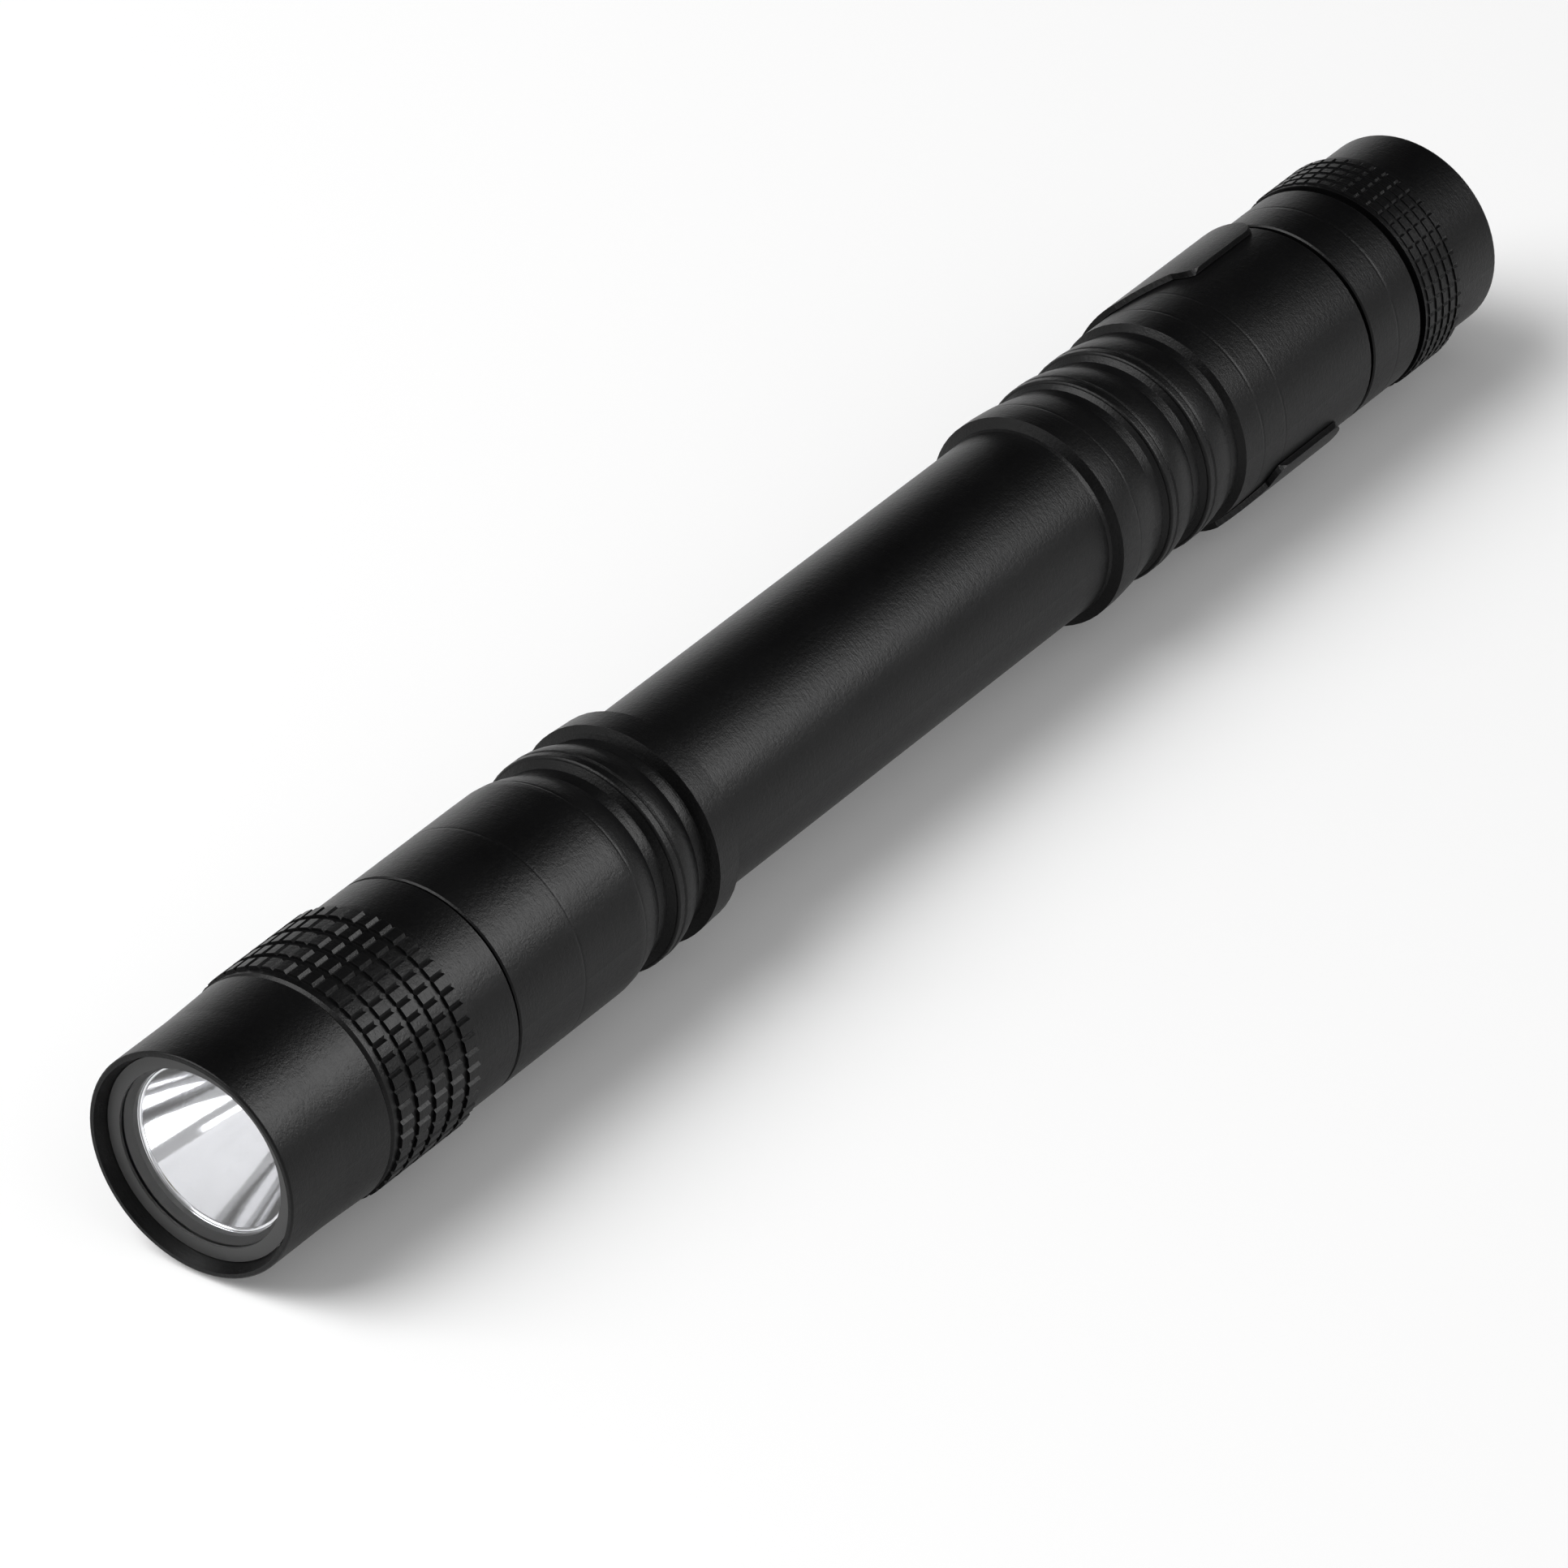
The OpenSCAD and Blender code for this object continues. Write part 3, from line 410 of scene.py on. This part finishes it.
def stippled_rubber(name):
    """Matt black rubber with a fine moulded stipple and a little dust in it."""
    dot_top = 0.1
    dot_foot = 0.6
    dust_ends = 0.5
    clean_black = (0.010, 0.010, 0.010)
    dusty_black = (0.022, 0.021, 0.020)
    least_rough = 0.6
    most_rough = 0.75
    material, tree, shader = new_finish(name)
    dots = place(tree, "ShaderNodeTexVoronoi", {}, {"Vector": own_place(tree), "Scale": 3200.0})
    stipple = spread(tree, dots.outputs["Distance"], dot_top, dot_foot, 1.0, 0.0)
    patches = effect(tree, HANDLING, "Patches", Scale=420.0)
    dust = calc(tree, "MULTIPLY", patches, spread(tree, stipple, 0.0, dust_ends, 1.0, 0.0))
    wire(tree, shader, Base_Color=mixed(tree, dust, clean_black, dusty_black))
    wire(tree, shader, Roughness=ranged(tree, patches, least_rough, most_rough))
    wire(tree, shader, Normal=bumped(tree, stipple, depth=2.0e-5))
    return material


FINISHES = {
    "black_anodised": black_metal(
        "black_anodised",
        grain_scale=3200.0,
        rough=0.35,
        worn_colour=(0.008, 0.008, 0.0085),
        wear_radius=0.0001,
    ),
    "black_steel": black_metal(
        "black_steel",
        grain_scale=4000.0,
        rough=0.36,
        worn_colour=(0.014, 0.014, 0.0145),
        wear_radius=0.00012,
    ),
    "dark_plastic": plain_moulded("dark_plastic", colour=(0.032, 0.032, 0.032), rough=0.45),
    "clear_glass": clear_glass("clear_glass"),
    "black_rubber": stippled_rubber("black_rubber"),
    "grey_rubber": plain_moulded("grey_rubber", colour=(0.034, 0.034, 0.034), rough=0.6),
    "bright_reflector": bright_metal(
        "bright_reflector", colour=(0.92, 0.92, 0.93), rough=0.08, grain_depth=1.0e-6
    ),
    "light_dome": light_package("light_dome"),
    "white_plastic": plain_moulded("white_plastic", colour=(0.8, 0.8, 0.78), rough=0.5),
    "board_metal": bright_metal("board_metal", colour=(0.75, 0.75, 0.73), rough=0.35, grain_depth=2.0e-6),
    "board_green": circuit_board("board_green"),
    "brass": bright_metal("brass", colour=(0.72, 0.5, 0.2), rough=0.25, grain_depth=2.0e-6),
    "spring_steel": bright_metal("spring_steel", colour=(0.62, 0.62, 0.6), rough=0.22, grain_depth=2.0e-6),
    "cell_jacket": cell_jacket("cell_jacket"),
    "switch_plastic": plain_moulded("switch_plastic", colour=(0.02, 0.02, 0.02), rough=0.3),
}

for part in frame["record"]["subparts"]:
    name = part.get("node") or part["name"]
    for slot in nodes[name].material_slots:
        slot.material = FINISHES[part["material_slot"]]


# Pieces that the solids leave out: the threads of the barrel and the lip of the reflector

def add_piece(name, points, faces, finish):
    """A new mesh in the scene with one finish."""
    mesh = bpy.data.meshes.new(name)
    mesh.from_pydata(points, [], faces)
    mesh.materials.append(FINISHES[finish])
    piece = bpy.data.objects.new(name, mesh)
    bpy.context.scene.collection.objects.link(piece)
    return piece


def round_axis(radius, angle, along):
    """A point at a distance from the axis, turned from the top, at a place along Y."""
    return (radius * math.sin(angle), along, AXIS_HEIGHT + radius * math.cos(angle))


# Screw threads on the two necks of the barrel, each one pointed ridge wound round the neck
THREAD_ROOT = 0.0063
THREAD_CREST = 0.0066
THREAD_SINK = 0.00005
THREAD_PITCH = 0.0008
THREAD_FOOT = 0.00062
THREAD_FLAT = 0.0001
THREAD_FADE_TURNS = 0.3
THREAD_LEAST_SHARE = 0.2
STEPS_PER_TURN = 60
# Places of the threads behind the front rim
HEAD_THREAD_START = 0.0162
HEAD_THREAD_END = 0.02055
TAIL_THREAD_START = 0.1179
TAIL_THREAD_END = 0.12085


def make_thread(name, start, end):
    """A right-hand ridge between two places behind the front rim, fading out at both ends."""
    turns = (end - start - THREAD_FOOT) / THREAD_PITCH
    steps = round(turns * STEPS_PER_TURN)
    foot = THREAD_ROOT - THREAD_SINK
    points = []
    for step in range(steps + 1):
        turned = turns * step / steps
        fade = min(1.0, turned / THREAD_FADE_TURNS, (turns - turned) / THREAD_FADE_TURNS)
        top = foot + (THREAD_CREST - foot) * max(fade, THREAD_LEAST_SHARE)
        middle = RIM_Y + start + THREAD_FOOT / 2 + THREAD_PITCH * turned
        section = ((foot, -THREAD_FOOT), (top, -THREAD_FLAT), (top, THREAD_FLAT), (foot, THREAD_FOOT))
        for radius, width in section:
            points.append(round_axis(radius, math.tau * turned, middle + width / 2))
    corners = 4
    faces = [(0, 1, 2, 3)]
    for step in range(steps):
        for side in range(corners):
            near = step * corners + side
            beside = step * corners + (side + 1) % corners
            faces.append((near, near + corners, beside + corners, beside))
    last = steps * corners
    faces.append((last + 3, last + 2, last + 1, last))
    thread = add_piece(name, points, faces, "black_anodised")
    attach(thread, "barrel")
    return thread


# Rounded lip at the mouth of the reflector, which shows as a thin bright line inside the gasket
MOUTH_RADIUS = 0.0057
MOUTH_START = 0.0029
LIP_RADIUS = 0.00015
LIP_SINK = 0.00004
LIP_STEPS = 120
LIP_SIDES = 12


def make_lip(name):
    """A bright bead round the mouth, let into the bowl a little."""
    middle_radius = MOUTH_RADIUS - LIP_RADIUS + LIP_SINK
    middle = RIM_Y + MOUTH_START + LIP_RADIUS
    points = []
    faces = []
    for step in range(LIP_STEPS):
        around = math.tau * step / LIP_STEPS
        next_step = (step + 1) % LIP_STEPS
        for side in range(LIP_SIDES):
            turn = math.tau * side / LIP_SIDES
            next_side = (side + 1) % LIP_SIDES
            radius = middle_radius + LIP_RADIUS * math.cos(turn)
            points.append(round_axis(radius, around, middle + LIP_RADIUS * math.sin(turn)))
            corners = ((step, side), (next_step, side), (next_step, next_side), (step, next_side))
            faces.append([at * LIP_SIDES + beside for at, beside in corners])
    lip = add_piece(name, points, faces, "bright_reflector")
    lip.data.shade_smooth()
    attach(lip, "head")
    return lip


new_pieces = [
    make_thread("head_thread", HEAD_THREAD_START, HEAD_THREAD_END),
    make_thread("tail_thread", TAIL_THREAD_START, TAIL_THREAD_END),
    make_lip("reflector_lip"),
]


# Floor, world and lamps

FLOOR_HALF = 4.0
FLOOR_DROP = 0.00005
FLOOR_COLOUR = (0.88, 0.88, 0.88, 1.0)
FLOOR_GLOW = 0.12
GLOW_COLOUR = (1.0, 1.0, 1.0, 1.0)

# Dark parts of the studio: direction, and the cosines from it where the dark begins and is full
DARK_SIDES = (
    (Vector((-0.2, 0.67, 0.71)).normalized(), 0.66, 0.88),
    (Vector((0.2, -0.97, 0.1)).normalized(), 0.82, 0.95),
    (Vector((0.36, 0.92, 0.12)).normalized(), 0.94, 0.985),
)
PALE_WALL = (0.5, 0.5, 0.5)
DARK_WALL = (0.0, 0.0, 0.0)


def make_floor():
    """A wide pale floor that shows white round the object and keeps its shadow."""
    mesh = bpy.data.meshes.new("floor")
    corners = [(-1, -1), (1, -1), (1, 1), (-1, 1)]
    mesh.from_pydata([(x * FLOOR_HALF, y * FLOOR_HALF, 0.0) for x, y in corners], [], [(0, 1, 2, 3)])
    floor = bpy.data.objects.new("floor", mesh)
    floor.location.z = -FLOOR_DROP
    bpy.context.scene.collection.objects.link(floor)
    material = bpy.data.materials.new("white_floor")
    material.use_nodes = True
    tree = material.node_tree
    tree.nodes.clear()
    diffuse = place(tree, "ShaderNodeBsdfDiffuse", {}, {"Color": FLOOR_COLOUR})
    glow = place(tree, "ShaderNodeEmission", {}, {"Color": GLOW_COLOUR})
    ray = place(tree, "ShaderNodeLightPath")
    seen = calc(tree, "MAXIMUM", ray.outputs["Is Camera Ray"], ray.outputs["Is Glossy Ray"])
    seen = calc(tree, "MAXIMUM", seen, ray.outputs["Is Transmission Ray"])
    tree.links.new(calc(tree, "MULTIPLY", seen, FLOOR_GLOW), glow.inputs["Strength"])
    both = place(tree, "ShaderNodeAddShader", {}, {0: diffuse.outputs[0], 1: glow.outputs[0]})
    place(tree, "ShaderNodeOutputMaterial", {}, {"Surface": both.outputs[0]})
    mesh.materials.append(material)


def make_world():
    """A pale studio with three dark sides: high behind, low in front and low behind the penlight."""
    world = bpy.data.worlds.new("studio")
    bpy.context.scene.world = world
    world.use_nodes = True
    tree = world.node_tree
    tree.nodes.clear()
    where = place(tree, "ShaderNodeTexCoord").outputs["Generated"]
    dark = 0.0
    for side, begins, is_full in DARK_SIDES:
        turn = place(tree, "ShaderNodeVectorMath", {"operation": "DOT_PRODUCT"}, {0: where, 1: side})
        here = spread(tree, turn.outputs["Value"], begins, is_full, 0.0, 1.0)
        dark = calc(tree, "MAXIMUM", here, dark)
    colour = mixed(tree, dark, PALE_WALL, DARK_WALL)
    sky = place(tree, "ShaderNodeBackground", {}, {"Color": colour, "Strength": 1.0})
    place(tree, "ShaderNodeOutputWorld", {}, {"Surface": sky.outputs[0]})


def make_softbox(name, stand, aim, width, height, radiance):
    """A flat soft lamp of a given brightness that stands at one point and is aimed at another."""
    lamp = bpy.data.lights.new(name, "AREA")
    lamp.shape = "RECTANGLE"
    lamp.size = width
    lamp.size_y = height
    lamp.energy = radiance * math.pi * width * height
    holder = bpy.data.objects.new(name, lamp)
    holder.location = stand
    holder.rotation_mode = "QUATERNION"
    holder.rotation_quaternion = (Vector(aim) - Vector(stand)).to_track_quat("-Z", "Y")
    holder.visible_camera = False
    bpy.context.scene.collection.objects.link(holder)
    return holder


make_floor()
make_world()
# Small near lamp on the right of the picture, aimed at the head
right_softbox = make_softbox(
    "right_softbox",
    stand=(0.191, 0.097, 0.190),
    aim=(0.0, -0.07, 0.010),
    width=0.18,
    height=0.18,
    radiance=7.8,
)
# Large lamp, high on the left of the picture
make_softbox(
    "front_softbox", stand=(-0.45, -0.55, 0.85), aim=(0.0, 0.0, 0.0), width=0.8, height=0.8, radiance=6.0
)
# Low strip on the far side of the penlight
make_softbox(
    "left_strip", stand=(-0.52, 0.47, 0.05), aim=(0.0, 0.0, 0.02), width=0.6, height=0.08, radiance=0.9
)
# Low strip on the left of the picture, in front of the head
front_strip = make_softbox(
    "front_strip", stand=(-0.42, -0.75, 0.12), aim=(0.0, -0.03, 0.01), width=0.4, height=0.16, radiance=2.7
)

# These two lamps light the pieces of the penlight only, not the floor
lit_pieces = bpy.data.collections.new("lit_pieces")
for piece in list(nodes.values()) + new_pieces:
    lit_pieces.objects.link(piece)
right_softbox.light_linking.receiver_collection = lit_pieces
front_strip.light_linking.receiver_collection = lit_pieces


# Camera

camera_data = bpy.data.cameras.new("photo_camera")
camera_data.lens = CAMERA_LENS
camera_data.sensor_width = CAMERA_SENSOR
camera = bpy.data.objects.new("photo_camera", camera_data)
camera_back = CAMERA_RIGHT.cross(CAMERA_UP)
camera_turn = Matrix((CAMERA_RIGHT, CAMERA_UP, camera_back)).transposed()
camera.matrix_world = Matrix.Translation(CAMERA_PLACE) @ camera_turn.to_4x4()
bpy.context.scene.collection.objects.link(camera)
bpy.context.scene.camera = camera
bpy.context.scene.view_settings.view_transform = "Standard"
